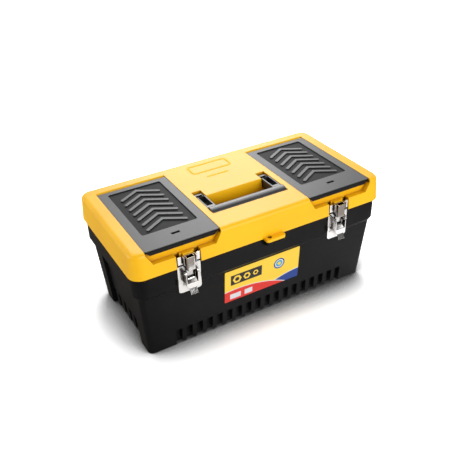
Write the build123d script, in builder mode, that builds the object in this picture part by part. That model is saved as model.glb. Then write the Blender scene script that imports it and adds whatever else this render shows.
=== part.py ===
"""Plastic toolbox: box body, hinged lid with two organizers, carrying handle, draw latches and lift-out tray.

Millimetres. The origin is on the floor under the middle of the box, X runs along the box,
-Y is the front with the latches, and +Z is up.
"""

import os

from build123d import *

# Overall sizes
lid_length = 500.0
lid_depth = 250.0
body_height = 176.0  # floor to the lid's lower edge
lid_height = 46.0
wall = 3.0
lid_corner_r = 22.0
lid_edge_r = 8.0
lid_draft = 3.4  # lid's walls lean in by this much

# Clearances
pin_clearance = 0.03  # radial, pins in their holes
side_gap = 0.4  # between the cheeks of a hinge
seat_gap = 0.5  # round a cover in its seat
tray_gap = 1.2  # round the tray in the rim

# Body
rim_inset = 4.0  # rim band behind the lid's face
rim_rise = 6.0  # rim inside the lid's skirt
band_height = 40.0
step_height = 10.0  # sloped underside of the band
step_in = 7.5
taper_in = 9.2  # walls lean in by this much from the step to the floor
post_corner_r = 10.0
base_edge_r = 3.0
panel_recess = 6.5  # panel in each end wall
panel_half = 68.0
panel_drop = 8.0  # panel below the step
ledge_drop = 1.2  # tray's ledge below the band

# Ribs along the foot of the walls
foot_height = 33.0
foot_slope = 3.0  # the foot's ceiling rises towards the outside
groove_depth = 9.0
end_groove_depth = 7.0  # behind the end panel
groove_width = 12.3
rib_lift = 4.0  # ribs stop above the floor
rib_round = 3.0
front_rib_pitch = 20.5  # aimed at; the ribs share out the foot's length
end_rib_pitch = 24.0
foot_post = 51.0  # corner post beside the front ribs

# Lid
shoulder_width = 3.5
shoulder_height = 3.0
hinge_out = 6.0  # hinge axis behind the lid's back face
hinge_drop = 2.0  # hinge axis below the lid's lower edge
hinge_r = 5.0
hinge_pin_r = 2.0
lid_knuckle_width = 30.0
body_knuckle_width = 14.0
knuckle_root = 20.0  # height of a knuckle's root on the wall

# Organizers in the lid
cover_width = 133.0
cover_end_margin = 28.0  # cover to the lid's end face
cover_front_margin = 8.5
cover_back_margin = 29.3
cover_thick = 4.0
cover_drop = 0.3  # cover below the lid's top
cover_lip_height = 9.5
cover_lip_thick = 3.9
cover_groove = 1.2  # shadow line above the lip
cover_groove_drop = 2.4
cover_corner_r = 3.0
cover_barrel_r = 4.0
cover_pin_r = 1.5
cover_pin_seat = 3.0  # pin's end in the lid's wall
panel_inset_x = 16.0
panel_front_margin = 45.5
panel_back_margin = 12.7
panel_depth = 2.0
panel_corner_r = 4.0
chevron_count = 7
chevron_margin = 7.0  # chevrons to the panel's front and back edges
chevron_side_margin = 13.1
chevron_rise = 22.0
chevron_width = 5.8
chevron_height = 2.0
chevron_round = 2.5
slot_length = 15.5
slot_width = 5.5
slot_margin = 26.5  # slot behind the cover's front edge
bin_depth = 27.3
bin_ledge = 4.5
bin_front_wall = 5.0
bin_back_wall = 4.3
bin_divider = 2.0
bin_wall = 1.8
bin_fit = 0.3  # round a bin in the lid's opening
bin_flange = 1.6  # hangs on the lid's ledge
bin_flange_thick = 1.2

# Finger recess below each cover
pull_height = 18.3
pull_depth = 13.0
pull_slant = 11.0  # each end leans in by this much

# Hand trough and handle
trough_half = 76.0
trough_front = 72.0
trough_back = 11.6
trough_slope = 5.0
trough_depth = 29.0
slot_inner = 57.5
slot_back = 10.8
slot_depth = 19.0
bar_r = 12.5
bar_front_gap = 1.5
bar_rise = 3.5  # bar above the arms
handle_side_gap = 0.8
arm_width = 16.6
arm_depth = 14.0
handle_pivot_y = 3.5
handle_pivot_drop = 10.0
handle_pin_r = 2.0
handle_pin_seat = 3.0
arm_end_r = 6.8
arm_pin_wall = 1.2
handle_drop = 0.5
arm_pocket_width = 12.0
arm_pocket_margin = 2.0  # pocket behind the bar
arm_pocket_depth = 11.0
arm_window_length = 9.0

# Raised frame on the lid's top
frame_half = 42.0
frame_depth = 33.0
frame_margin = 24.0  # frame to the lid's back face
frame_line = 4.0
frame_height = 0.9
mark_half = 23.0
mark_gap = 19.0  # bar in front of the frame

# Padlock eye
tab_x = 10.0
tab_width = 38.0
tab_reach = 12.0  # in front of the lid's face
tab_below = 2.5
tab_above = 3.0
tab_corner_r = 5.0
eye_x = 0.0
eye_r = 4.0
eye_margin = 8.0  # eye's centre behind the tab's front edge
lug_gap = 0.6
lug_thick = 5.0

# Draw latches
latch_offset = 4.5  # latch nearer the middle than its cover
plate_thick = 1.2
latch_half = 20.0  # half the hook's width
latch_base_half = 21.0
latch_base_drop = 52.5  # below the lid's lower edge
latch_base_corner_r = 5.0
hook_gap = 4.6  # between the base plate and the hook's strips
base_above = 0.6  # base plate above the lid's lower edge
pocket_half = 21.8
pocket_deep = 7.9  # side channels of the lid's latch pocket
ridge_half = 9.0
ridge_deep = 3.4
lip_gap = 0.4
strip_inner = 13.6
strip_bridge = 3.0  # joins a strip to the hook's middle
hook_below = 2.5  # hook's top below the finger recess's floor
lip_drop = 5.0  # lips below the hook's top
catch_gap = 0.5  # lips above the catch, the lower edge of the lid's slot
lever_axis_drop = 11.0
lever_axis_out = 7.4  # in front of the rim band
hook_axis_drop = 14.0
hook_axis_back = 2.5
hook_knuckle_r = 3.0
hook_pin_r = 1.4
tongue_half = 6.0
channel_half = 7.6
channel_front = 12.0  # hook's raised panel in front of the rim band
channel_round = 2.4
channel_gap = 1.5  # panel above the lever's arms
rib_inner = 10.0
rib_out = 9.0
arm_r = 5.0
arm_front = 12.4
lever_face_gap = 2.0  # face below the hook's knuckle
lever_face_height = 3.5
lever_neck_half = 6.8
lever_neck_height = 6.5
lever_tip_height = 10.0
lever_tip_out = 16.5
ear_gap = 0.4
ear_r = 4.5
lever_rivet_r = 1.5
lever_rivet_head_r = 2.4
lever_rivet_head = 0.6
rivet_r = 2.0
rivet_head_r = 3.4
rivet_head = 0.8
rivet_drops = (5.0, 36.0)  # below the lid's lower edge
nib_width = 3.0
nib_height = 10.0
nib_drop = 28.0
nib_out = 2.6

# Label
label_x = -2.75
label_width = 156.5
label_height = 70.0
label_drop = 1.5  # below the step
label_thick = 0.4
label_corner_r = 2.0

# Tray
tray_below_rim = 9.2  # tray's edge below the body's rim
tray_wall = 2.2
tray_draft = 1.0
tray_spine = 3.0
grip_half = 75.0
grip_gap = 2.2  # grip below the organizer bins
grip_width = 14.0
grip_height = 11.0
grip_post = 18.0
grip_hole_height = 21.0
divider_inset = 118.6  # divider to the tray's end
divider_thick = 2.0
divider_gap = 0.3
divider_height = 30.0
guide_width = 2.0
guide_depth = 3.0

# Places that follow from the sizes
half_length = lid_length / 2
half_depth = lid_depth / 2
lid_top = body_height + lid_height
rim_top = body_height + rim_rise
band_x = half_length - rim_inset
band_y = half_depth - rim_inset
band_bottom = body_height - band_height
step_bottom = band_bottom - step_height
tub_x = band_x - step_in
tub_y = band_y - step_in
floor_x = tub_x - taper_in
floor_y = tub_y - taper_in
band_r = lid_corner_r
ledge_z = band_bottom - ledge_drop
panel_top = step_bottom - panel_drop
groove_x = floor_x - panel_recess - end_groove_depth
groove_y = floor_y - groove_depth
foot_half = floor_x - foot_post
rib_lean = taper_in * (foot_height + foot_slope) / step_bottom
lid_front = -half_depth + wall  # inside the leaning front wall at every height
cover_x = half_length - cover_end_margin - cover_width / 2
cover_front = half_depth - cover_front_margin
cover_back = half_depth - cover_back_margin
latch_x = cover_x - latch_offset
hinge_x = latch_x
hinge_y = half_depth + hinge_out
hinge_z = body_height - hinge_drop
cover_top = lid_top - cover_drop
cover_bottom = cover_top - cover_thick
cover_axis_y = cover_back - cover_barrel_r
cover_axis_z = cover_top - cover_barrel_r
seat_half = cover_width / 2 + seat_gap
seat_floor = cover_bottom - side_gap
seat_back = cover_back + 2 * side_gap
panel_front = cover_front - panel_front_margin
panel_back = cover_back - panel_back_margin
pull_floor = seat_floor - pull_height
pull_back = half_depth - pull_depth
bin_floor = seat_floor - bin_depth
bin_front = pull_back - bin_front_wall
bin_back = cover_axis_y - cover_barrel_r - side_gap - bin_back_wall
bin_half = seat_half - bin_ledge
bin_mid = (bin_back - bin_front) / 2
bin_top = seat_floor - side_gap
trough_floor = lid_top - trough_depth
slot_floor = lid_top - slot_depth
handle_top = lid_top - handle_drop
handle_pivot_z = lid_top - handle_pivot_drop
bar_y = -trough_front + bar_front_gap + bar_r
bar_z = handle_top + bar_rise - bar_r
arm_outer = trough_half - handle_side_gap
arm_inner = arm_outer - arm_width
arm_neck = handle_pivot_drop + seat_gap
arm_shoulder = arm_neck + handle_top - handle_pivot_z - arm_end_r
lever_axis_z = body_height - lever_axis_drop
lever_axis_y = -band_y - lever_axis_out
hook_axis_y = lever_axis_y + hook_axis_back
hook_axis_z = lever_axis_z - hook_axis_drop
lever_face_top = hook_axis_z - hook_knuckle_r - lever_face_gap
lever_neck_top = lever_face_top - lever_face_height
lever_bend_z = lever_neck_top - lever_neck_height
lever_tip_z = lever_bend_z - lever_tip_height
channel_bottom = lever_axis_z + arm_r + channel_gap
rivet_heights = [body_height - drop for drop in rivet_drops]
plate_front = -band_y - plate_thick
hook_plate_back = hook_axis_y + hook_knuckle_r
hook_plate_front = hook_plate_back - plate_thick
hook_bottom = body_height + base_above + hook_gap
hook_top = pull_floor - hook_below
hook_lip_z = hook_top - lip_drop
catch_z = hook_lip_z - plate_thick - catch_gap
pocket_back = -half_depth + pocket_deep
hook_lip_back = pocket_back - lip_gap
arm_half = rib_inner + plate_thick
ear_inner = arm_half + ear_gap
tray_x = band_x - wall - tray_gap
tray_y = band_y - wall - tray_gap
tray_r = band_r - wall - tray_gap
tray_top = rim_top - tray_below_rim
tray_floor = ledge_z + tray_wall
grip_top = bin_floor - wall - grip_gap
label_top = step_bottom - label_drop
nib_z = body_height - nib_drop
sides = (("left", -1), ("right", 1))


def wall_x(z):
    """Half the length of the tapered wall's outside at height z."""
    return floor_x + taper_in * z / step_bottom


def wall_y(z):
    """Half the depth of the tapered wall's outside at height z."""
    return floor_y + taper_in * z / step_bottom


def rod(radius, axis_y, axis_z, x_from, x_to, mode=Mode.ADD):
    """Round bar along X between two places."""
    with BuildSketch(Plane.YZ.offset(x_from), mode=Mode.PRIVATE) as section:
        with Locations((axis_y, axis_z)):
            Circle(radius)
    extrude(section.sketch, amount=x_to - x_from, mode=mode)


def block(x_from, x_to, y_from, y_to, z_from, z_to, mode=Mode.ADD):
    """Box between two corners."""
    with Locations(((x_from + x_to) / 2, (y_from + y_to) / 2, (z_from + z_to) / 2)):
        Box(abs(x_to - x_from), abs(y_to - y_from), abs(z_to - z_from), mode=mode)


def slab_along_x(points, x_from, x_to, mode=Mode.ADD):
    """Outline of (y, z) points carried along X."""
    with BuildSketch(Plane.YZ.offset(x_from), mode=Mode.PRIVATE) as section:
        with BuildLine():
            Polyline(*points, close=True)
        make_face()
    extrude(section.sketch, amount=x_to - x_from, mode=mode)


def rounded_layer(z, half_x, half_y, radius):
    """Sketch of a rounded rectangle at height z."""
    with BuildSketch(Plane.XY.offset(z), mode=Mode.PRIVATE) as layer:
        RectangleRounded(2 * half_x, 2 * half_y, radius)
    return layer.sketch


def foot_ribs(plane, foot_width, aimed_pitch, run):
    """Ribs with equal grooves along one foot, flush with the wall that the plane lies on."""
    count = round((foot_width - groove_width) / aimed_pitch)
    pitch = (foot_width - groove_width) / count
    rib_top = foot_height + foot_slope + wall / 2
    with BuildSketch(plane, mode=Mode.PRIVATE) as ribs:
        with GridLocations(pitch, 1, count, 1):
            with Locations((0, (rib_lift + rib_top) / 2)):
                Rectangle(pitch - groove_width, rib_top - rib_lift)
        fillet(ribs.vertices().group_by(Axis.Y)[0], rib_round)
    extrude(ribs.sketch, amount=-run)


# Hollow of the body: stepped in behind the end panels, and behind the ribs of the foot
with BuildPart() as body_hollow:
    foot_ceiling = foot_height + foot_slope + wall
    panel_ceiling = panel_top + panel_recess + wall
    inner_r = post_corner_r - wall
    low = rounded_layer(foot_ceiling, wall_x(foot_ceiling) - wall, wall_y(foot_ceiling) - wall, inner_r)
    high = rounded_layer(ledge_z, wall_x(ledge_z) - wall, wall_y(ledge_z) - wall, inner_r)
    loft([low, high], ruled=True)
    for end in (-1, 1):
        with BuildSketch(Plane.XZ, mode=Mode.PRIVATE) as panel_back_profile:
            with BuildLine():
                Polyline(
                    (end * (wall_x(foot_ceiling) - panel_recess - wall), foot_ceiling),
                    (end * (wall_x(panel_top) - panel_recess - wall), panel_top + wall / 2),
                    (end * (wall_x(panel_top) - wall), panel_ceiling),
                    (end * band_x, panel_ceiling),
                    (end * band_x, foot_ceiling),
                    close=True,
                )
            make_face()
        extrude(panel_back_profile.sketch, amount=panel_half + wall, both=True, mode=Mode.SUBTRACT)
    with BuildSketch(Plane.XY.offset(wall)):
        RectangleRounded(2 * (floor_x - wall), 2 * (floor_y - wall), inner_r)
        for end in (-1, 1):
            with Locations((0, end * (groove_y - wall + groove_depth))):
                Rectangle(2 * (foot_half + wall), 2 * groove_depth, mode=Mode.SUBTRACT)
            with Locations((end * (groove_x - wall + groove_depth), 0)):
                Rectangle(2 * groove_depth, 2 * (panel_half + wall), mode=Mode.SUBTRACT)
    extrude(amount=foot_ceiling - wall)
    with BuildSketch(Plane.XY.offset(ledge_z)):
        RectangleRounded(2 * (band_x - wall), 2 * (band_y - wall), band_r - wall)
    extrude(amount=rim_top - ledge_z)

# Body: tapered tub, step, rim band, ribbed foot, rear hinge knuckles, padlock lug
with BuildPart() as body_shell:
    layers = [
        rounded_layer(0, floor_x, floor_y, post_corner_r),
        rounded_layer(step_bottom, tub_x, tub_y, post_corner_r),
        rounded_layer(band_bottom, band_x, band_y, band_r),
        rounded_layer(rim_top, band_x, band_y, band_r),
    ]
    loft(layers, ruled=True)
    fillet(body_shell.faces().sort_by(Axis.Z)[0].edges(), base_edge_r)
    for end in (-1, 1):
        foot_profile = [
            (end * groove_y, 0),
            (end * groove_y, foot_height),
            (end * tub_y, foot_height + foot_slope),
            (end * tub_y, 0),
        ]
        slab_along_x(foot_profile, -foot_half, foot_half, mode=Mode.SUBTRACT)
        with BuildSketch(Plane.XZ, mode=Mode.PRIVATE) as end_profile:
            with BuildLine():
                Polyline(
                    (end * groove_x, 0),
                    (end * groove_x, foot_height),
                    (end * (wall_x(foot_height) - panel_recess), foot_height + foot_slope),
                    (end * (wall_x(panel_top) - panel_recess), panel_top),
                    (end * wall_x(panel_top), panel_top + panel_recess),
                    (end * band_x, panel_top + panel_recess),
                    (end * band_x, 0),
                    close=True,
                )
            make_face()
        extrude(end_profile.sketch, amount=panel_half, both=True, mode=Mode.SUBTRACT)
    add(body_hollow.part, mode=Mode.SUBTRACT)
    for end in (-1, 1):
        front_wall = Plane((0, end * floor_y, 0), x_dir=(-end, 0, 0), z_dir=(0, end * step_bottom, -taper_in))
        foot_ribs(front_wall, 2 * foot_half, front_rib_pitch, groove_depth + rib_lean)
        end_place = (end * (floor_x - panel_recess), 0, 0)
        end_wall = Plane(end_place, x_dir=(0, end, 0), z_dir=(end * step_bottom, 0, -taper_in))
        foot_ribs(end_wall, 2 * panel_half, end_rib_pitch, end_groove_depth + rib_lean)
    for _, side in sides:
        for cheek in (-1, 1):
            near = side * hinge_x + cheek * (lid_knuckle_width / 2 + side_gap)
            far = near + cheek * body_knuckle_width
            root = band_y - wall / 2
            knuckle = [
                (root, hinge_z - knuckle_root),
                (hinge_y, hinge_z - hinge_r),
                (hinge_y, body_height - side_gap),
                (root, body_height - side_gap),
            ]
            slab_along_x(knuckle, near, far)
            rod(hinge_r, hinge_y, hinge_z, near, far)
        rod(
            hinge_pin_r + pin_clearance,
            hinge_y,
            hinge_z,
            side * hinge_x - lid_knuckle_width / 2 - side_gap - body_knuckle_width,
            side * hinge_x + lid_knuckle_width / 2 + side_gap + body_knuckle_width,
            mode=Mode.SUBTRACT,
        )
        for cheek in (-1, 1):
            nib_x = side * latch_x + cheek * (latch_base_half + side_gap + nib_width / 2)
            block(
                nib_x - nib_width / 2,
                nib_x + nib_width / 2,
                -band_y - nib_out,
                -band_y + wall / 2,
                nib_z - nib_height / 2,
                nib_z + nib_height / 2,
            )
        for rivet_z in rivet_heights:
            with Locations(Plane((side * latch_x, -band_y, rivet_z), z_dir=(0, -1, 0))):
                Hole(rivet_r + pin_clearance, depth=2 * wall)
    lug_top = body_height - tab_below - lug_gap
    lug_front = -half_depth - tab_reach
    lug = [
        (-band_y + wall / 2, lug_top),
        (lug_front, lug_top),
        (lug_front, lug_top - lug_thick),
        (-band_y + wall / 2, lug_top - 2 * lug_thick),
    ]
    slab_along_x(lug, tab_x - tab_width / 2, tab_x + tab_width / 2)
    lug_posts = body_shell.edges().filter_by(Axis.Z).group_by(Axis.Y)[0]
    fillet(lug_posts, tab_corner_r)
    with Locations(Plane((eye_x, lug_front + eye_margin, lug_top), z_dir=(0, 0, 1))):
        Hole(eye_r, depth=2 * lug_thick)

# Hollow of the lid's shell
with BuildPart() as lid_hollow:
    ceiling = lid_top - wall
    lean_in = wall + lid_draft * (ceiling - body_height) / lid_height
    low = rounded_layer(body_height, half_length - wall, half_depth - wall, lid_corner_r - wall)
    high = rounded_layer(ceiling, half_length - lean_in, half_depth - lean_in, lid_corner_r - lean_in)
    loft([low, high], ruled=True)
    fillet(lid_hollow.faces().sort_by(Axis.Z)[-1].edges(), lid_edge_r - wall)

# Lid: shell, shoulder on the body's rim, wells for the bins, hand trough, finger recesses, latch pockets, tab
with BuildPart() as lid_shell:
    low = rounded_layer(body_height, half_length, half_depth, lid_corner_r)
    high = rounded_layer(lid_top, half_length - lid_draft, half_depth - lid_draft, lid_corner_r - lid_draft)
    loft([low, high], ruled=True)
    fillet(lid_shell.faces().sort_by(Axis.Z)[-1].edges(), lid_edge_r)
    add(lid_hollow.part, mode=Mode.SUBTRACT)
    with BuildSketch(Plane.XY.offset(rim_top)):
        RectangleRounded(lid_length - wall, lid_depth - wall, lid_corner_r - wall / 2)
        RectangleRounded(
            lid_length - 2 * (wall + shoulder_width),
            lid_depth - 2 * (wall + shoulder_width),
            lid_corner_r - wall - shoulder_width,
            mode=Mode.SUBTRACT,
        )
    extrude(amount=shoulder_height)
    block(-trough_half - wall, trough_half + wall, -trough_front - wall, -trough_back + wall,
          trough_floor - wall, lid_top - wall / 2)
    for _, side in sides:
        block(side * (slot_inner - wall), side * (trough_half + wall), -trough_back, slot_back + wall,
              slot_floor - wall, lid_top - wall / 2)
        centre = side * cover_x
        skin = seat_half + wall
        block(centre - skin, centre + skin, -pull_back, bin_back + wall, seat_floor - 2 * wall,
              lid_top - wall / 2)
        block(centre - skin, centre + skin, bin_back, seat_back + wall,
              cover_axis_z - cover_barrel_r - side_gap - wall, lid_top - wall / 2)
        block(centre - skin - wall / 2, centre + skin + wall / 2, lid_front, -pull_back + wall,
              pull_floor - wall, lid_top - lid_edge_r)
        block(side * latch_x - pocket_half - wall, side * latch_x + pocket_half + wall, lid_front,
              pocket_back + wall, rim_top, pull_floor - wall / 2)
        seat_low = cover_axis_z - cover_barrel_r - side_gap
        block(centre - seat_half, centre + seat_half, -half_depth, seat_back, seat_floor, lid_top,
              mode=Mode.SUBTRACT)
        block(centre - seat_half, centre + seat_half, cover_axis_y - cover_barrel_r - side_gap, seat_back,
              seat_low, lid_top, mode=Mode.SUBTRACT)
        chamfered = [(seat_back, lid_top - wall), (seat_back, lid_top), (seat_back + wall, lid_top)]
        slab_along_x(chamfered, centre - seat_half, centre + seat_half, mode=Mode.SUBTRACT)
        well_half = bin_half + bin_wall + bin_fit
        block(centre - well_half, centre + well_half, -bin_front - bin_wall - bin_fit,
              bin_back + bin_wall + bin_fit, bin_floor - wall, seat_floor, mode=Mode.SUBTRACT)
        ledge_half = well_half + bin_flange
        block(centre - ledge_half, centre + ledge_half, -bin_front - bin_fit, bin_back + bin_fit,
              bin_top - bin_flange_thick, seat_floor, mode=Mode.SUBTRACT)
        with BuildSketch(Plane.XZ.offset(pull_back), mode=Mode.PRIVATE) as pull:
            with BuildLine():
                Polyline(
                    (centre - seat_half, seat_floor),
                    (centre - seat_half + pull_slant, pull_floor),
                    (centre + seat_half - pull_slant, pull_floor),
                    (centre + seat_half, seat_floor),
                    close=True,
                )
            make_face()
        extrude(pull.sketch, amount=half_depth - pull_back, mode=Mode.SUBTRACT)
        block(side * latch_x - pocket_half, side * latch_x + pocket_half, -half_depth, pocket_back,
              body_height, pull_floor, mode=Mode.SUBTRACT)
        block(side * latch_x - ridge_half, side * latch_x + ridge_half, -half_depth + ridge_deep,
              pocket_back + wall / 2, rim_top, pull_floor)
        for cheek in (-1, 1):
            slot_near = side * latch_x + cheek * (strip_inner - side_gap)
            slot_far = side * latch_x + cheek * pocket_half
            block(slot_near, slot_far, pocket_back, -pull_back - side_gap, catch_z, pull_floor,
                  mode=Mode.SUBTRACT)
        rod(cover_pin_r + pin_clearance, cover_axis_y, cover_axis_z, centre - seat_half - cover_pin_seat,
            centre + seat_half + cover_pin_seat, mode=Mode.SUBTRACT)
    trough = [
        (-trough_front, trough_floor),
        (-trough_front, lid_top),
        (-trough_back, lid_top),
        (-trough_back - trough_slope, trough_floor),
    ]
    slab_along_x(trough, -trough_half, trough_half, mode=Mode.SUBTRACT)
    for _, side in sides:
        block(side * slot_inner, side * trough_half, -trough_front, slot_back, slot_floor, lid_top,
              mode=Mode.SUBTRACT)
        pin_from = side * (slot_inner - handle_pin_seat)
        pin_to = side * (trough_half + handle_pin_seat)
        rod(handle_pin_r + pin_clearance, handle_pivot_y, handle_pivot_z, pin_from, pin_to,
            mode=Mode.SUBTRACT)
        knuckle_from = side * hinge_x - lid_knuckle_width / 2
        knuckle_to = side * hinge_x + lid_knuckle_width / 2
        lid_knuckle = [
            (half_depth - wall, body_height + side_gap),
            (half_depth - wall, body_height + knuckle_root),
            (hinge_y + hinge_r, hinge_z),
            (hinge_y - hinge_r, hinge_z),
            (hinge_y - hinge_r, body_height + side_gap),
        ]
        slab_along_x(lid_knuckle, knuckle_from, knuckle_to)
        rod(hinge_r, hinge_y, hinge_z, knuckle_from, knuckle_to)
        rod(hinge_pin_r + pin_clearance, hinge_y, hinge_z, knuckle_from, knuckle_to, mode=Mode.SUBTRACT)
    with BuildSketch(Plane.XY.offset(lid_top)):
        frame_mid = half_depth - frame_margin - frame_depth / 2
        with Locations((0, frame_mid)):
            RectangleRounded(2 * frame_half, frame_depth, 2 * frame_line)
            RectangleRounded(2 * (frame_half - frame_line), frame_depth - 2 * frame_line, frame_line,
                             mode=Mode.SUBTRACT)
        with Locations((0, frame_mid - frame_depth / 2 - mark_gap)):
            SlotOverall(2 * mark_half, frame_line)
    extrude(amount=frame_height, taper=45)
    with BuildSketch(Plane.XY.offset(body_height - tab_below)):
        with Locations((tab_x, -half_depth - tab_reach / 2 + (rim_inset - lug_gap) / 2)):
            tab_run = tab_reach + rim_inset - lug_gap
            Rectangle(tab_width, tab_run)
        with Locations((eye_x, lug_front + eye_margin)):
            Circle(eye_r, mode=Mode.SUBTRACT)
    extrude(amount=tab_below + tab_above)
    tab_posts = lid_shell.edges().filter_by(Axis.Z).group_by(Axis.Y)[0]
    fillet(tab_posts, tab_corner_r)

# Carrying handle: round bar between two arms, pocketed from above
with BuildPart() as handle:
    rod(bar_r, bar_y, bar_z, -arm_outer, arm_outer)
    for _, side in sides:
        arm_from = side * arm_inner
        arm_to = side * arm_outer
        arm = [
            (handle_pivot_y, handle_pivot_z - arm_end_r),
            (handle_pivot_y, handle_pivot_z + arm_end_r),
            (handle_pivot_y - arm_neck, handle_pivot_z + arm_end_r),
            (handle_pivot_y - arm_shoulder, handle_top),
            (bar_y, handle_top),
            (bar_y, handle_top - arm_depth),
        ]
        slab_along_x(arm, arm_from, arm_to)
        rod(arm_end_r, handle_pivot_y, handle_pivot_z, arm_from, arm_to)
        arm_mid = (arm_from + arm_to) / 2
        pocket_end = handle_pivot_y - arm_shoulder
        pocket_start = bar_y + bar_r + arm_pocket_margin
        block(arm_mid - arm_pocket_width / 2, arm_mid + arm_pocket_width / 2, pocket_start,
              pocket_end, handle_top - arm_pocket_depth, handle_top, mode=Mode.SUBTRACT)
        window_to = handle_pivot_y - handle_pin_r - arm_pin_wall
        block(arm_mid - arm_pocket_width / 2, arm_mid + arm_pocket_width / 2, window_to - arm_window_length,
              window_to, slot_floor, lid_top, mode=Mode.SUBTRACT)
        rod(handle_pin_r + pin_clearance, handle_pivot_y, handle_pivot_z, arm_from, arm_to,
            mode=Mode.SUBTRACT)

# Label on the tapered front wall
label_mid = label_top - label_height / 2
lean = Vector(0, -step_bottom, -taper_in)
label_plane = Plane((0, -wall_y(label_mid), label_mid), x_dir=(1, 0, 0), z_dir=lean)
with BuildPart() as front_label:
    with BuildSketch(label_plane):
        with Locations((label_x, 0)):
            RectangleRounded(label_width, label_height, label_corner_r)
    extrude(amount=label_thick)

# Tray: open box on the body's ledge, with a spine on each side of its grip and guides for the loose plates
with BuildPart() as tray:
    tray_low = rounded_layer(ledge_z, tray_x - tray_draft, tray_y - tray_draft, tray_r - tray_draft)
    tray_high = rounded_layer(tray_top, tray_x, tray_y, tray_r)
    loft([tray_low, tray_high], ruled=True)
    tray_inner_x = tray_x - tray_draft - tray_wall
    tray_inner_y = tray_y - tray_draft - tray_wall
    inner_low = rounded_layer(tray_floor, tray_inner_x, tray_inner_y, tray_r - tray_draft - tray_wall)
    inner_high = rounded_layer(tray_top, tray_x - tray_wall, tray_y - tray_wall, tray_r - tray_wall)
    loft([inner_low, inner_high], ruled=True, mode=Mode.SUBTRACT)
    spine_x = tray_inner_x + tray_wall / 2
    spine_top = tray_top - tray_wall
    for _, side in sides:
        block(side * (grip_half + divider_gap), side * spine_x, -tray_spine / 2, tray_spine / 2, tray_floor,
              spine_top)
        for row in (-1, 1):
            grip_side = row * (tray_spine / 2 + divider_gap)
            block(side * (grip_half + guide_width), side * (grip_half - guide_depth), grip_side,
                  grip_side + row * guide_width, tray_floor, tray_floor + divider_height)
    divider_x = tray_inner_x - divider_inset
    for _, side in sides:
        for cheek in (-1, 1):
            guide_near = side * divider_x + cheek * (divider_thick / 2 + divider_gap)
            guide_far = guide_near + cheek * guide_width
            for row in (-1, 1):
                guide_root = tray_inner_y + tray_draft + tray_wall / 4
                block(guide_near, guide_far, row * guide_root, row * (tray_inner_y - guide_depth), tray_floor,
                      tray_floor + divider_height)
                block(guide_near, guide_far, 0, row * (tray_spine / 2 + guide_depth), tray_floor,
                      tray_floor + divider_height)

# Grip of the tray: a plate in the gap of the spine, with a hand hole under a thick bar
with BuildPart() as tray_grip:
    grip_bottom = grip_top - grip_height
    block(-grip_half, grip_half, -tray_spine / 2, tray_spine / 2, tray_floor, grip_top)
    block(-grip_half, grip_half, -grip_width / 2, grip_width / 2, grip_bottom, grip_top)
    grip_edges = tray_grip.edges().filter_by(Axis.X).group_by(Axis.Z)[-1]
    fillet(grip_edges, grip_height / 3)
    grip_hole = grip_half - grip_post
    block(-grip_hole, grip_hole, -tray_spine, tray_spine, grip_bottom - grip_hole_height, grip_bottom,
          mode=Mode.SUBTRACT)

# Loose dividers, standing in the tray's guides
with BuildPart() as tray_dividers:
    for _, side in sides:
        for row in (-1, 1):
            block(side * divider_x - divider_thick / 2, side * divider_x + divider_thick / 2,
                  row * (tray_spine / 2 + divider_gap), row * (tray_inner_y - divider_gap), tray_floor,
                  tray_floor + divider_height)

# Rivets that hold both latch plates to the rim band, headed flush outside and flat inside
with BuildPart() as latch_rivets:
    for _, side in sides:
        for rivet_z in rivet_heights:
            with BuildSketch(Plane.XZ.offset(-plate_front), mode=Mode.PRIVATE) as shank:
                with Locations((side * latch_x, rivet_z)):
                    Circle(rivet_r)
            extrude(shank.sketch, amount=-(plate_thick + wall))
            with BuildSketch(Plane.XZ.offset(band_y - wall), mode=Mode.PRIVATE) as tail:
                with Locations((side * latch_x, rivet_z)):
                    Circle(rivet_head_r)
            extrude(tail.sketch, amount=-rivet_head)

fixed_parts = {
    "body_shell": body_shell,
    "lid_shell": lid_shell,
    "handle": handle,
    "front_label": front_label,
    "tray": tray,
    "tray_grip": tray_grip,
    "tray_dividers": tray_dividers,
    "latch_rivets": latch_rivets,
}


def hinge_pin(side):
    """Steel pin through the three knuckles of one lid hinge."""
    reach = lid_knuckle_width / 2 + side_gap + body_knuckle_width
    with BuildPart() as pin:
        rod(hinge_pin_r, hinge_y, hinge_z, side * hinge_x - reach, side * hinge_x + reach)
    return pin


def handle_pin(side):
    """Steel pin of one handle arm, held in the walls of its slot."""
    inner_end = side * (slot_inner - handle_pin_seat)
    outer_end = side * (trough_half + handle_pin_seat)
    with BuildPart() as pin:
        rod(handle_pin_r, handle_pivot_y, handle_pivot_z, inner_end, outer_end)
    return pin


def cover_pin(side):
    """Steel pin along the back edge of one organizer cover."""
    reach = seat_half + cover_pin_seat
    with BuildPart() as pin:
        rod(cover_pin_r, cover_axis_y, cover_axis_z, side * cover_x - reach, side * cover_x + reach)
    return pin


def organizer_bin(side):
    """Bin with four compartments, hung by two flanges in the lid's opening."""
    centre = side * cover_x
    with BuildPart() as bin_insert:
        block(centre - bin_half - bin_wall, centre + bin_half + bin_wall, -bin_front - bin_wall,
              bin_back + bin_wall, bin_floor - bin_wall, bin_top)
        flange_half = bin_half + bin_wall + bin_flange
        block(centre - flange_half, centre + flange_half, -bin_front, bin_back, bin_top - bin_flange_thick,
              bin_top)
        for column in (-1, 1):
            near = centre + column * bin_divider / 2
            far = centre + column * bin_half
            block(near, far, -bin_front, bin_mid - bin_divider / 2, bin_floor, bin_top, mode=Mode.SUBTRACT)
            block(near, far, bin_mid + bin_divider / 2, bin_back, bin_floor, bin_top, mode=Mode.SUBTRACT)
    return bin_insert


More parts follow.
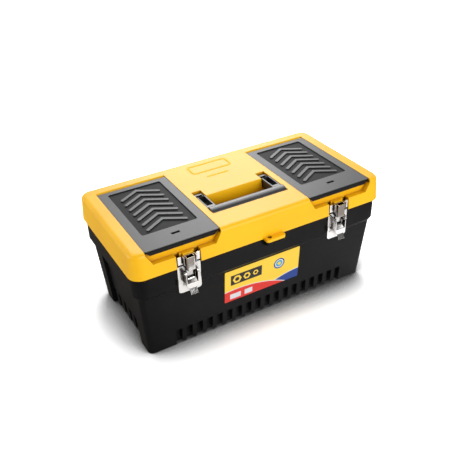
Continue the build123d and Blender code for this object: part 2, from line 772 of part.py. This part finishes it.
def organizer_cover(side):
    """Cover plate with a hinge barrel, a front lip, a sunk panel and raised chevrons."""
    centre = side * cover_x
    left = centre - cover_width / 2
    right = centre + cover_width / 2
    panel_floor = cover_top - panel_depth
    with BuildPart() as cover:
        block(left, right, -cover_front, cover_axis_y, cover_bottom, cover_top)
        fillet(cover.edges().filter_by(Axis.Z).group_by(Axis.Y)[0], cover_corner_r)
        lip_bottom = cover_top - cover_lip_height
        lip_lean = pull_slant * cover_lip_height / pull_height
        with BuildSketch(Plane.XZ.offset(cover_front), mode=Mode.PRIVATE) as lip:
            with BuildLine():
                Polyline(
                    (left + cover_corner_r, cover_bottom + cover_thick / 4),
                    (left + cover_corner_r + lip_lean, lip_bottom),
                    (right - cover_corner_r - lip_lean, lip_bottom),
                    (right - cover_corner_r, cover_bottom + cover_thick / 4),
                    close=True,
                )
            make_face()
        extrude(lip.sketch, amount=-cover_lip_thick)
        rod(cover_barrel_r, cover_axis_y, cover_axis_z, left, right)
        groove_top = cover_top - cover_groove_drop
        block(left, right, -cover_front, -cover_front + cover_groove, groove_top - cover_groove, groove_top,
              mode=Mode.SUBTRACT)
        with BuildSketch(Plane.XY.offset(panel_floor)):
            with Locations((centre, (panel_back - panel_front) / 2)):
                RectangleRounded(cover_width - 2 * panel_inset_x, panel_front + panel_back, panel_corner_r)
        extrude(amount=panel_depth, mode=Mode.SUBTRACT)
        with BuildSketch(Plane.XY.offset(panel_floor)) as chevrons:
            chevron_half = cover_width / 2 - panel_inset_x - chevron_side_margin
            band = chevron_width * (chevron_half**2 + chevron_rise**2) ** 0.5 / chevron_half
            first = panel_back - chevron_margin
            last = -panel_front + chevron_margin + chevron_rise + band
            for row in range(chevron_count):
                apex = first + (last - first) * row / (chevron_count - 1)
                with BuildLine():
                    Polyline(
                        (centre, apex),
                        (centre + chevron_half, apex - chevron_rise),
                        (centre + chevron_half, apex - chevron_rise - band),
                        (centre, apex - band),
                        (centre - chevron_half, apex - chevron_rise - band),
                        (centre - chevron_half, apex - chevron_rise),
                        close=True,
                    )
                make_face()
            columns = chevrons.vertices().group_by(Axis.X)
            fillet(columns[0] + columns[-1], chevron_round)
        extrude(amount=chevron_height)
        with BuildSketch(Plane.XY.offset(cover_bottom)):
            with Locations((centre, -cover_front + slot_margin)):
                Rectangle(slot_length, slot_width)
        extrude(amount=cover_thick, mode=Mode.SUBTRACT)
        rod(cover_pin_r + pin_clearance, cover_axis_y, cover_axis_z, left, right, mode=Mode.SUBTRACT)
    return cover


def latch_base(side):
    """Plate on the rim band with rounded lower corners and two ears for the lever."""
    centre = side * latch_x
    with BuildPart() as base:
        block(centre - latch_base_half, centre + latch_base_half, plate_front, -band_y,
              body_height - latch_base_drop, body_height + base_above)
        fillet(base.edges().filter_by(Axis.Y).group_by(Axis.Z)[0], latch_base_corner_r)
        for cheek in (-1, 1):
            near = centre + cheek * ear_inner
            far = near + cheek * plate_thick
            ear = [
                (-band_y - plate_thick / 2, lever_axis_z - 2 * ear_r),
                (lever_axis_y, lever_axis_z - ear_r),
                (lever_axis_y, lever_axis_z + ear_r),
                (-band_y - plate_thick / 2, lever_axis_z + ear_r),
            ]
            slab_along_x(ear, near, far)
            rod(ear_r, lever_axis_y, lever_axis_z, near, far)
            rod(lever_rivet_r + pin_clearance, lever_axis_y, lever_axis_z, near, far, mode=Mode.SUBTRACT)
        for rivet_z in rivet_heights:
            with Locations(Plane((centre, plate_front, rivet_z), z_dir=(0, -1, 0))):
                Hole(rivet_r + pin_clearance, depth=2 * plate_thick)
    return base


def latch_lever_rivets(side):
    """Two headed stubs that carry the lever's arms in the ears."""
    centre = side * latch_x
    with BuildPart() as rivets:
        for cheek in (-1, 1):
            head_in = centre + cheek * (rib_inner - side_gap / 2)
            ear_out = centre + cheek * (ear_inner + plate_thick)
            rod(lever_rivet_r, lever_axis_y, lever_axis_z, head_in, ear_out)
            rod(lever_rivet_head_r, lever_axis_y, lever_axis_z, head_in - cheek * lever_rivet_head, head_in)
            rod(lever_rivet_head_r, lever_axis_y, lever_axis_z, ear_out, ear_out + cheek * lever_rivet_head)
    return rivets


def latch_lever(side):
    """Two arms from the ears, joined below the hook's pin by a face that ends in a bent-out tip."""
    centre = side * latch_x
    front = -band_y - arm_front
    back = lever_axis_y + arm_r - plate_thick / 2
    with BuildPart() as lever:
        for cheek in (-1, 1):
            near = centre + cheek * rib_inner
            far = near + cheek * plate_thick
            arm_side = [
                (front, lever_axis_z - arm_r / 2),
                (front, lever_neck_top),
                (front + plate_thick, lever_neck_top),
                (back, hook_axis_z - hook_knuckle_r),
                (back, lever_axis_z),
                (lever_axis_y, lever_axis_z + arm_r / 2),
            ]
            slab_along_x(arm_side, near, far)
            rod(arm_r, lever_axis_y, lever_axis_z, near, far)
            rod(lever_rivet_r + pin_clearance, lever_axis_y, lever_axis_z, near, far, mode=Mode.SUBTRACT)
            rod(hook_pin_r + pin_clearance, hook_axis_y, hook_axis_z, near, far, mode=Mode.SUBTRACT)
        with BuildSketch(Plane.XZ.offset(-front), mode=Mode.PRIVATE) as face:
            with BuildLine():
                Polyline(
                    (centre - arm_half, lever_face_top),
                    (centre - arm_half, lever_neck_top),
                    (centre - lever_neck_half, lever_bend_z),
                    (centre + lever_neck_half, lever_bend_z),
                    (centre + arm_half, lever_neck_top),
                    (centre + arm_half, lever_face_top),
                    close=True,
                )
            make_face()
        extrude(face.sketch, amount=-plate_thick)
        tip = [
            (front, lever_bend_z),
            (front + plate_thick, lever_bend_z),
            (-band_y - lever_tip_out + plate_thick, lever_tip_z),
            (-band_y - lever_tip_out, lever_tip_z),
        ]
        slab_along_x(tip, centre - lever_neck_half, centre + lever_neck_half)
    return lever


def latch_hook_pin(side):
    """Pin across the lever's arms that the hook turns on."""
    with BuildPart() as pin:
        rod(hook_pin_r, hook_axis_y, hook_axis_z, side * latch_x - arm_half, side * latch_x + arm_half)
    return pin


def latch_hook(side):
    """Tongue on the lever's pin, a raised panel between two ribs, and two strips with lips."""
    centre = side * latch_x
    with BuildPart() as hook:
        block(centre - latch_half, centre + latch_half, hook_plate_front, hook_plate_back, hook_bottom,
              hook_top)
        for cheek in (-1, 1):
            strip_in = centre + cheek * strip_inner
            strip_out = centre + cheek * latch_half
            rib_near = centre + cheek * rib_inner
            rib_far = rib_near + cheek * plate_thick
            block(strip_in, rib_far, hook_plate_front, hook_plate_back, hook_bottom + strip_bridge, hook_top,
                  mode=Mode.SUBTRACT)
            block(strip_in, strip_out, hook_plate_front, hook_lip_back, hook_lip_z - plate_thick, hook_lip_z)
            block(rib_near, rib_far, -band_y - rib_out, hook_plate_back, hook_bottom, hook_top)
        block(centre - tongue_half, centre + tongue_half, hook_plate_front, hook_plate_back, hook_axis_z,
              hook_bottom)
        rod(hook_knuckle_r, hook_axis_y, hook_axis_z, centre - tongue_half, centre + tongue_half)
        with BuildSketch(Plane.XY.offset(channel_bottom), mode=Mode.PRIVATE) as channel:
            channel_face = -band_y - channel_front
            with Locations((centre, (channel_face + hook_plate_back) / 2)):
                outer = Rectangle(2 * channel_half, hook_plate_back - channel_face)
                fillet(outer.vertices().group_by(Axis.Y)[0], channel_round)
            with Locations((centre, (channel_face + plate_thick + hook_plate_back) / 2)):
                Rectangle(2 * (channel_half - plate_thick), hook_plate_back - channel_face - plate_thick,
                          mode=Mode.SUBTRACT)
        extrude(channel.sketch, amount=hook_top - channel_bottom)
        rod(hook_pin_r + pin_clearance, hook_axis_y, hook_axis_z, centre - tongue_half, centre + tongue_half,
            mode=Mode.SUBTRACT)
    return hook


paired_parts = {
    "lid_hinge_pin": hinge_pin,
    "handle_pin": handle_pin,
    "cover_pin": cover_pin,
    "organizer_bin": organizer_bin,
    "organizer_cover": organizer_cover,
    "latch_base": latch_base,
    "latch_lever_rivets": latch_lever_rivets,
    "latch_lever": latch_lever,
    "latch_hook_pin": latch_hook_pin,
    "latch_hook": latch_hook,
}

os.makedirs("parts", exist_ok=True)
for name, piece in fixed_parts.items():
    piece.part.label = name
    export_step(piece.part, f"parts/{name}.step")
for name, make in paired_parts.items():
    for side_name, side in sides:
        piece = make(side)
        piece.part.label = f"{name}_{side_name}"
        export_step(piece.part, f"parts/{name}_{side_name}.step")
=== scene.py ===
import math

import bpy
import numpy as np
from mathutils import Matrix, Vector


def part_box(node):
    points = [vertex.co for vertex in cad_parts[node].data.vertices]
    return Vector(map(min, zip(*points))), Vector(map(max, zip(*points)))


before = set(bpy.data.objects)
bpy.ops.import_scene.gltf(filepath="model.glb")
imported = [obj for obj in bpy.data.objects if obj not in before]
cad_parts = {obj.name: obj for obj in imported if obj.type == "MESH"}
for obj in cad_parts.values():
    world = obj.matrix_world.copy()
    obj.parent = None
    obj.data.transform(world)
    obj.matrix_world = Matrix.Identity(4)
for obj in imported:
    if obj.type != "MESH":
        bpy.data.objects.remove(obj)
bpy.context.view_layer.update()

# The box body is one deep moulding of black polypropylene with a fine spark-eroded grain.
# Its thick rim band carries the lid and the latches, and upright ribs stiffen the foot.
# It stands flat on its floor.


class Wire:
    """A socket in one material's tree. Sums and products of wires and numbers add Math nodes."""

    def __init__(self, tree, socket=None):
        self.tree = tree
        self.socket = socket

    def node(self, kind, settings=None, sockets=None, output=0):
        """Adds a node, sets it up, then gives its sockets their numbers, colours or links."""
        made = self.tree.nodes.new("ShaderNode" + kind)
        for key, value in (settings or {}).items():
            setattr(made, key, value)
        for key, value in (sockets or {}).items():
            if isinstance(value, Wire):
                self.tree.links.new(value.socket, made.inputs[key])
            else:
                made.inputs[key].default_value = value
        return Wire(self.tree, made.outputs[output]) if made.outputs else None

    def maths(self, operation, first, second=0.0):
        """One Math node on two numbers or wires."""
        return self.node("Math", {"operation": operation}, {0: first, 1: second})

    def __add__(self, other):
        return self.maths("ADD", self, other)

    def __sub__(self, other):
        return self.maths("SUBTRACT", self, other)

    def __rsub__(self, other):
        return self.maths("SUBTRACT", other, self)

    def __mul__(self, other):
        return self.maths("MULTIPLY", self, other)

    __radd__ = __add__
    __rmul__ = __mul__

    def along(self, axis):
        """One number of a vector: X, Y or Z."""
        return self.node("SeparateXYZ", None, {0: self}, axis)

    def clouds(self, per_metre, detail):
        """Cloudy noise from 0 to 1 at the points of a vector, with that many patches to the metre."""
        return self.node("TexNoise", None, {"Vector": self, "Scale": per_metre, "Detail": detail})

    def fade(self, low, high):
        """0 where the value is below low, 1 where it is above high, smooth between them."""
        return self.node("MapRange", {"interpolation_type": "SMOOTHSTEP"}, {0: self, 1: low, 2: high})

    def tint(self, first, second):
        """The colour first where the value is 0, second where it is 1."""
        return self.node("Mix", {"data_type": "RGBA"}, {0: self, 6: first, 7: second}, 2)

    def finish(self, sockets):
        """Ends the material in a Principled surface with these sockets."""
        self.node("OutputMaterial", None, {"Surface": self.node("BsdfPrincipled", None, sockets)})


def new_finish(name):
    """An empty material, a wire that adds its nodes, and the object's coordinates on such a wire."""
    material = bpy.data.materials.new(name)
    material.use_nodes = True
    material.node_tree.nodes.clear()
    wire = Wire(material.node_tree)
    return material, wire, wire.node("TexCoord", output="Object")


def dress(material, *nodes):
    """Gives CAD nodes a finish in place of their plain one."""
    for node in nodes:
        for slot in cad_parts[node].material_slots:
            slot.material = material


def moulded(pores, depth, edge):
    """Normal of a moulded skin: edges rounded to a radius, under pores of that depth."""
    rounded = pores.node("Bevel", {"samples": 6}, {"Radius": edge})
    return pores.node("Bump", None, {"Distance": depth, "Height": pores, "Normal": rounded})


body_dark = (0.0065, 0.0065, 0.0070, 1)
body_light = (0.0095, 0.0095, 0.0100, 1)
body_grain = 0.0009
body_black, wire, place = new_finish("body_black")
pores = place.clouds(1 / body_grain, detail=2.0)
drift = place.clouds(11.0, detail=4.0)
wire.finish({
    "Base Color": drift.fade(0.3, 0.7).tint(body_dark, body_light),
    "Roughness": 0.40 + 0.10 * pores + 0.06 * drift,
    "Specular IOR Level": 0.10,
    "Normal": moulded(pores, depth=0.00006, edge=0.0012),
})
dress(body_black, "body_shell")

# The label is a printed vinyl sticker on the smooth front wall, with rounded corners.
# Its print is a plain design without words: a red and a blue hill on yellow, a dark panel with a row
# of hexagon nuts, a round target and two blank white boxes. Places count from its lower left corner.
label_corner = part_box("front_label")[0]
label_yellow = (0.93, 0.62, 0.06, 1)
label_red = (0.72, 0.040, 0.028, 1)
label_blue = (0.020, 0.055, 0.26, 1)
label_white = (0.72, 0.72, 0.74, 1)
label_dark = (0.022, 0.020, 0.020, 1)
label_sky = (0.05, 0.36, 0.52, 1)
ink_edge = 1e-4
printed_label, wire, place = new_finish("printed_label")
across = place.along("X") - label_corner.x
upward = place.along("Z") - label_corner.z


def inked(distance, reach):
    """1 where the distance is below the reach, with an edge as soft as printing ink."""
    return 1 - distance.fade(reach - ink_edge, reach + ink_edge)


def disc(x, y, radius):
    """Printed round about a centre: all within the radius of it."""
    beside = across - x
    above = upward - y
    return inked(wire.maths("SQRT", beside * beside + above * above), radius)


def panel(x, y, width, height):
    """Printed rectangle about a centre: within half its width and half its height of it."""
    beside = wire.maths("ABSOLUTE", across - x)
    above = wire.maths("ABSOLUTE", upward - y)
    return inked(beside, width / 2) * inked(above, height / 2)


def hexagon(x, y, reach):
    """Printed hexagon with flat sides above and below, at that distance from its centre.
    The largest of the distances along the directions to its sides stays within the reach.
    """
    beside = wire.maths("ABSOLUTE", across - x)
    above = wire.maths("ABSOLUTE", upward - y)
    slant = math.cos(math.radians(30)) * beside + math.sin(math.radians(30)) * above
    return inked(wire.maths("MAXIMUM", slant, above), reach)


ink = label_yellow
hill_rim = 0.0015
hills = (0.165, -0.165, 0.185, label_blue), (0.025, -0.200, 0.224, label_red)
for hill_x, hill_y, hill_radius, hill_colour in hills:
    ink = disc(hill_x, hill_y, hill_radius + hill_rim).tint(ink, label_white)
    ink = disc(hill_x, hill_y, hill_radius).tint(ink, hill_colour)
motif_y = 0.047
nut_panel_x = 0.044
ink = panel(nut_panel_x, motif_y, width=0.064, height=0.022).tint(ink, label_dark)
nut_bore = 0.55
for nut_x, nut_size in ((0.025, 0.0078), (0.045, 0.0064), (0.063, 0.0050)):
    ink = hexagon(nut_x, motif_y, nut_size).tint(ink, label_yellow)
    ink = disc(nut_x, motif_y, nut_bore * nut_size).tint(ink, label_dark)
target_x = 0.113
rings = (0.0115, label_blue), (0.0090, label_white), (0.0070, label_sky), (0.0035, label_yellow)
for ring_radius, ring_colour in rings:
    ink = disc(target_x, motif_y, ring_radius).tint(ink, ring_colour)
blank_y = 0.010
for blank_x, blank_width in ((0.022, 0.022), (0.049, 0.016)):
    ink = panel(blank_x, blank_y, blank_width, height=0.011).tint(ink, label_white)
vinyl = place.clouds(60.0, detail=2.0)
wire.finish({
    "Base Color": ink,
    "Roughness": 0.34 + 0.08 * vinyl,
    "Specular IOR Level": 0.3,
    "Normal": wire.node("Bump", None, {"Distance": 0.00002, "Height": vinyl}),
})
dress(printed_label, "front_label")

# The lid is one moulding of warm yellow polypropylene, satin on its flats, with painted shade in its
# hollows.
# Its hand trough and finger recesses are part of it, it turns on two rear hinges, and two bins of the
# same plastic hang in its wells. The low frame and bar on its top stand out, so they are rubbed duller,
# and their yellow is lighter: painted light on their shaded slopes.


def openness(wire, reach):
    """How much of the room a point sees within that reach: 0 in a closed corner, 1 on an open face."""
    return wire.node("AmbientOcclusion", {"samples": 8}, {"Distance": reach}, "AO")


lid_deep = (0.94, 0.49, 0.0, 1)
lid_bright = (0.98, 0.53, 0.0, 1)
lid_painted_hollow_shade = (0.50, 0.20, 0.0, 1)
lid_shadow = (0.12, 0.035, 0.0, 1)
lid_painted_frame_light = (1.0, 0.66, 0.03, 1)
lid_grain = 0.0011
hollow_reach = 0.040
corner_reach = 0.012
frame_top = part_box("lid_shell")[1].z
rub_depth = 0.0008
lid_yellow, wire, place = new_finish("lid_yellow")
pores = place.clouds(1 / lid_grain, detail=2.0)
drift = place.clouds(9.0, detail=3.0)
rubbed_and_painted_light = place.along("Z").fade(frame_top - rub_depth, frame_top - rub_depth / 2)
lid_colour = drift.fade(0.3, 0.7).tint(lid_deep, lid_bright)
# Painted shade: the yellow darkens in hollows, and more in tight corners, by how open each point is.
lid_colour = openness(wire, hollow_reach).fade(0.20, 0.70).tint(lid_painted_hollow_shade, lid_colour)
# Painted light: the raised frame and bar take a lighter yellow, and the same mask makes them duller.
lid_colour = rubbed_and_painted_light.tint(lid_colour, lid_painted_frame_light)
lid_colour = openness(wire, corner_reach).fade(0.02, 0.45).tint(lid_shadow, lid_colour)
wire.finish({
    "Base Color": lid_colour,
    "Roughness": 0.36 + 0.08 * pores + 0.4 * rubbed_and_painted_light,
    "Specular IOR Level": 0.42,
    "Normal": moulded(pores, depth=0.00004, edge=0.0016),
})
dress(lid_yellow, "lid_shell", "organizer_bin_left", "organizer_bin_right")

# Each organizer cover is a flat moulding of charcoal plastic, hinged along its back edge.
# Its frame and chevrons are satin, and the sunk panel between them has a duller grain. The raised parts
# are coloured lighter and the sunk panel darker: partly the finish, partly painted sheen and painted shade.
cover_below = (0.013, 0.013, 0.014, 1)
cover_sunk_dull_and_painted_shade = (0.006, 0.006, 0.007, 1)
cover_raised_satin_and_painted_sheen = (0.040, 0.040, 0.041, 1)
cover_grain = 0.0008
panel_depth = 0.0020
chevron_foot = 0.0003
chevron_flank = 0.0009
top_skin = 0.0010
panel_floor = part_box("organizer_cover_left")[1].z - panel_depth
cover_charcoal, wire, place = new_finish("cover_charcoal")
pores = place.clouds(1 / cover_grain, detail=2.0)
height = place.along("Z")
raised = height.fade(panel_floor + chevron_foot, panel_floor + chevron_flank)
upper = height.fade(panel_floor - top_skin, panel_floor - top_skin / 2)
wire.finish({
    # Painted sheen and shade: the raised frame and chevrons are coloured lighter, the sunk panel darker.
    "Base Color": upper.tint(cover_below, raised.tint(cover_sunk_dull_and_painted_shade, cover_raised_satin_and_painted_sheen)),
    "Roughness": 0.55 - 0.10 * raised + 0.08 * pores,
    "Specular IOR Level": 0.15,
    "Coat Weight": 0.5 * raised,
    "Coat Roughness": 0.4,
    "Normal": moulded(pores, depth=0.00005, edge=0.0010),
})
dress(cover_charcoal, "organizer_cover_left", "organizer_cover_right")

# The carrying handle is a thick black moulding, a round bar between two pocketed arms.
# Hands polish it, so it is glossier than the body.
handle_dark = (0.006, 0.006, 0.0065, 1)
handle_light = (0.010, 0.010, 0.0105, 1)
handle_grain = 0.0012
handle_black, wire, place = new_finish("handle_black")
pores = place.clouds(1 / handle_grain, detail=2.0)
drift = place.clouds(30.0, detail=3.0)
wire.finish({
    "Base Color": drift.tint(handle_dark, handle_light),
    "Roughness": 0.34 + 0.10 * drift,
    "Specular IOR Level": 1.0,
    "Normal": moulded(pores, depth=0.00003, edge=0.0014),
})
dress(handle_black, "handle")

# The draw latches are pressed from sheet steel and plated in bright nickel.
# A riveted base plate carries the lever, and the hook on the lever pulls the lid down. The plates are
# flat, and the parts that stand out in front of them are pressed with a slight crown.
nickel_shadow = (0.025, 0.020, 0.016, 1)
nickel_warm = (0.81, 0.79, 0.77, 1)
nickel_bright = (0.90, 0.89, 0.89, 1)
press_wave = 0.016
latch_reach = 0.015
plate_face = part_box("latch_rivets")[0].y
crown_front = plate_face - 0.006
crown_back = plate_face - 0.004
crown_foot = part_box("latch_hook_pin_left")[1].z
crown_bend = 2.6
nickel, wire, place = new_finish("nickel_plate")
waves = place.clouds(1 / press_wave, detail=2.0)
drift = place.clouds(220.0, detail=3.0)
pressed = moulded(waves, depth=0.0004, edge=0.0005)
raised = 1 - place.along("Y").fade(crown_front, crown_back)
climb = wire.maths("MAXIMUM", place.along("Z") - crown_foot, 0.0)
crown = -crown_bend * climb * climb * raised
plating = drift.tint(nickel_warm, nickel_bright)
wire.finish({
    # Painted shade: the plating darkens in corners and in the gaps between parts, by how open each point
    # is.
    "Base Color": openness(wire, latch_reach).fade(0.34, 0.95).tint(nickel_shadow, plating),
    "Metallic": 1.0,
    "Roughness": 0.10 + 0.10 * drift,
    "Normal": wire.node("Bump", None, {"Distance": 1.0, "Height": crown, "Normal": pressed}),
})
latch_steel = ["latch_rivets"]
for side in ("left", "right"):
    for piece in ("latch_base", "latch_lever", "latch_hook", "latch_lever_rivets", "latch_hook_pin"):
        latch_steel.append(f"{piece}_{side}")
dress(nickel, *latch_steel)

# The hinge pins of the lid, the covers and the handle are plain drawn steel rod.
# They lie in their knuckles with a hair of clearance.


def grey(level):
    """A neutral colour of that brightness."""
    return (level, level, level, 1)


pin_dark = grey(0.42)
pin_light = grey(0.60)
draw_lines = (20.0, 900.0, 900.0)
pin_steel, wire, place = new_finish("drawn_steel")
drawn = wire.node("Mapping", None, {"Vector": place, "Scale": draw_lines})
lines = drawn.clouds(1.0, detail=2.0)
wire.finish({
    "Base Color": lines.tint(pin_dark, pin_light),
    "Metallic": 1.0,
    "Roughness": 0.28 + 0.14 * lines,
    "Normal": wire.node("Bump", None, {"Distance": 0.00003, "Height": lines}),
})
pins = []
for side in ("left", "right"):
    for piece in ("lid_hinge_pin", "handle_pin", "cover_pin"):
        pins.append(f"{piece}_{side}")
dress(pin_steel, *pins)

# The lift-out tray rests on a ledge inside the body's rim: a thin black moulding.
# Its grip plate and its loose dividers stand in moulded guides.
tray_dark = (0.020, 0.020, 0.021, 1)
tray_light = (0.030, 0.030, 0.031, 1)
tray_grain = 0.0010
tray_black, wire, place = new_finish("tray_black")
pores = place.clouds(1 / tray_grain, detail=2.0)
drift = place.clouds(12.0, detail=3.0)
wire.finish({
    "Base Color": drift.tint(tray_dark, tray_light),
    "Roughness": 0.40 + 0.10 * pores,
    "Normal": moulded(pores, depth=0.00005, edge=0.0008),
})
dress(tray_black, "tray", "tray_grip", "tray_dividers")

# The stage is a seamless pale floor under soft studio light: a soft box high behind the box, a wide one
# in front, a low one at its left end, and an even white surround. Shiny surfaces see painted reflections:
# a dark room in front, a white one behind, a bright roof and a lit sheet of floor. The shadow painted on
# the floor is deeper towards the right.
floor_half = 4.0
floor_mesh = bpy.data.meshes.new("floor")
corners = floor_half * np.array([(-1, -1, 0), (1, -1, 0), (1, 1, 0), (-1, 1, 0)], float)
floor_mesh.from_pydata(corners, [], [(0, 1, 2, 3)])
floor = bpy.data.objects.new("floor", floor_mesh)
bpy.context.scene.collection.objects.link(floor)
bounce_grey = grey(0.8)
near_white = grey(1.9)
far_white = grey(9.0)
sheet_middle = (0.12, -0.25, 0)
sheet_lit = grey(1.3)
sheet_dim = (0.28, 0.25, 0.22, 1)
shadow_grey = grey(0.08)
shadow_reach = 0.09
shadow_start = -0.08
shadow_lean = 1.0
floor_white, wire, place = new_finish("floor_white")
seen = wire.node("LightPath", output="Is Camera Ray")
mirrored = wire.node("LightPath", output="Is Glossy Ray")
away = wire.node("VectorMath", {"operation": "DISTANCE"}, {0: place, 1: sheet_middle}, "Value")
# Painted reflection: glossy rays see a lit sheet of floor about this middle, dimmer beyond it.
sheet = away.fade(0.20, 0.38).tint(sheet_lit, sheet_dim)
paper = away.fade(0.8, 2.5).tint(near_white, far_white)
# Painted shadow: the floor darkens where little of the room is open to it, more so towards the right.
opened = openness(wire, shadow_reach)
sideways = wire.maths("MAXIMUM", place.along("X") - shadow_start, 0.0)
shaded = opened - shadow_lean * sideways * (1 - opened)
washed = shaded.fade(0.30, 0.97).tint(shadow_grey, paper)
floor_colour = seen.tint(mirrored.tint(bounce_grey, sheet), washed)
wire.node("OutputMaterial", None, {"Surface": wire.node("BsdfDiffuse", None, {"Color": floor_colour})})
floor_mesh.materials.append(floor_white)

ambient = 0.48
front_room = 0.10
rear_room = 1.05
roof = 3.0
world = bpy.data.worlds.new("studio")
bpy.context.scene.world = world
world.use_nodes = True
world.node_tree.nodes.clear()
wire = Wire(world.node_tree)
seen = wire.node("LightPath", output="Is Camera Ray") + wire.node("LightPath", output="Is Transmission Ray")
mirrored = wire.node("LightPath", output="Is Glossy Ray")
towards = wire.node("TexCoord", output="Generated")
rearward = towards.along("Y")
skyward = towards.along("Z")
behind = rearward.fade(-0.35, 0.05)
overhead = skyward.fade(0.60, 0.85) * rearward.fade(0.0, 0.25)
# Painted reflections: only glossy rays see this room, dark in front, white behind, with a bright roof.
room = front_room + (rear_room - front_room) * behind + roof * overhead
glow = ambient + (1 - ambient) * seen + mirrored * (room - ambient)
surround = wire.node("Background", None, {"Color": grey(1.0), "Strength": glow})
wire.node("OutputWorld", None, {"Surface": surround})


def soft_light(name, stand, aim, width, depth, brightness):
    """A rectangular soft box of that brightness, as radiance, facing a point."""
    lamp = bpy.data.lights.new(name, "AREA")
    lamp.shape = "RECTANGLE"
    lamp.size = width
    lamp.size_y = depth
    lamp.energy = brightness * math.pi * width * depth
    soft_box = bpy.data.objects.new(name, lamp)
    soft_box.location = stand
    soft_box.rotation_euler = (Vector(stand) - Vector(aim)).to_track_quat("Z", "Y").to_euler()
    bpy.context.scene.collection.objects.link(soft_box)


soft_light("key", (0.58, 1.15, 1.05), aim=(0, 0, 0.15), width=0.82, depth=1.0, brightness=4.9)
soft_light("fill", (0.3, -1.9, 1.0), aim=(0, 0, 0.12), width=1.6, depth=1.2, brightness=4.6)
soft_light("side", (-1.9, 0.7, 0.45), aim=(0, 0, 0.15), width=1.2, depth=0.7, brightness=4.8)

# The camera stands at the photograph's viewing angle: in front, to the left and above, leaning slightly.
# It turns about its line of sight by the lean, from level.
eye = Vector((-0.5001, -0.8966, 0.7863))
sight = Vector((-0.0144, -0.0164, 0.1369))
lean = math.radians(-1.94)
ahead = (sight - eye).normalized()
level = ahead.cross(Vector((0, 0, 1))).normalized()
plumb = level.cross(ahead)
rightward = level * math.cos(lean) + plumb * math.sin(lean)
upright = plumb * math.cos(lean) - level * math.sin(lean)
camera_data = bpy.data.cameras.new("camera")
camera_data.sensor_width = 36.0
camera_data.lens = 50.42
camera_data.clip_end = 20.0
camera = bpy.data.objects.new("camera", camera_data)
camera.matrix_world = Matrix.Translation(eye) @ Matrix((rightward, upright, -ahead)).transposed().to_4x4()
bpy.context.scene.collection.objects.link(camera)
bpy.context.scene.camera = camera
bpy.context.scene.view_settings.view_transform = "Standard"
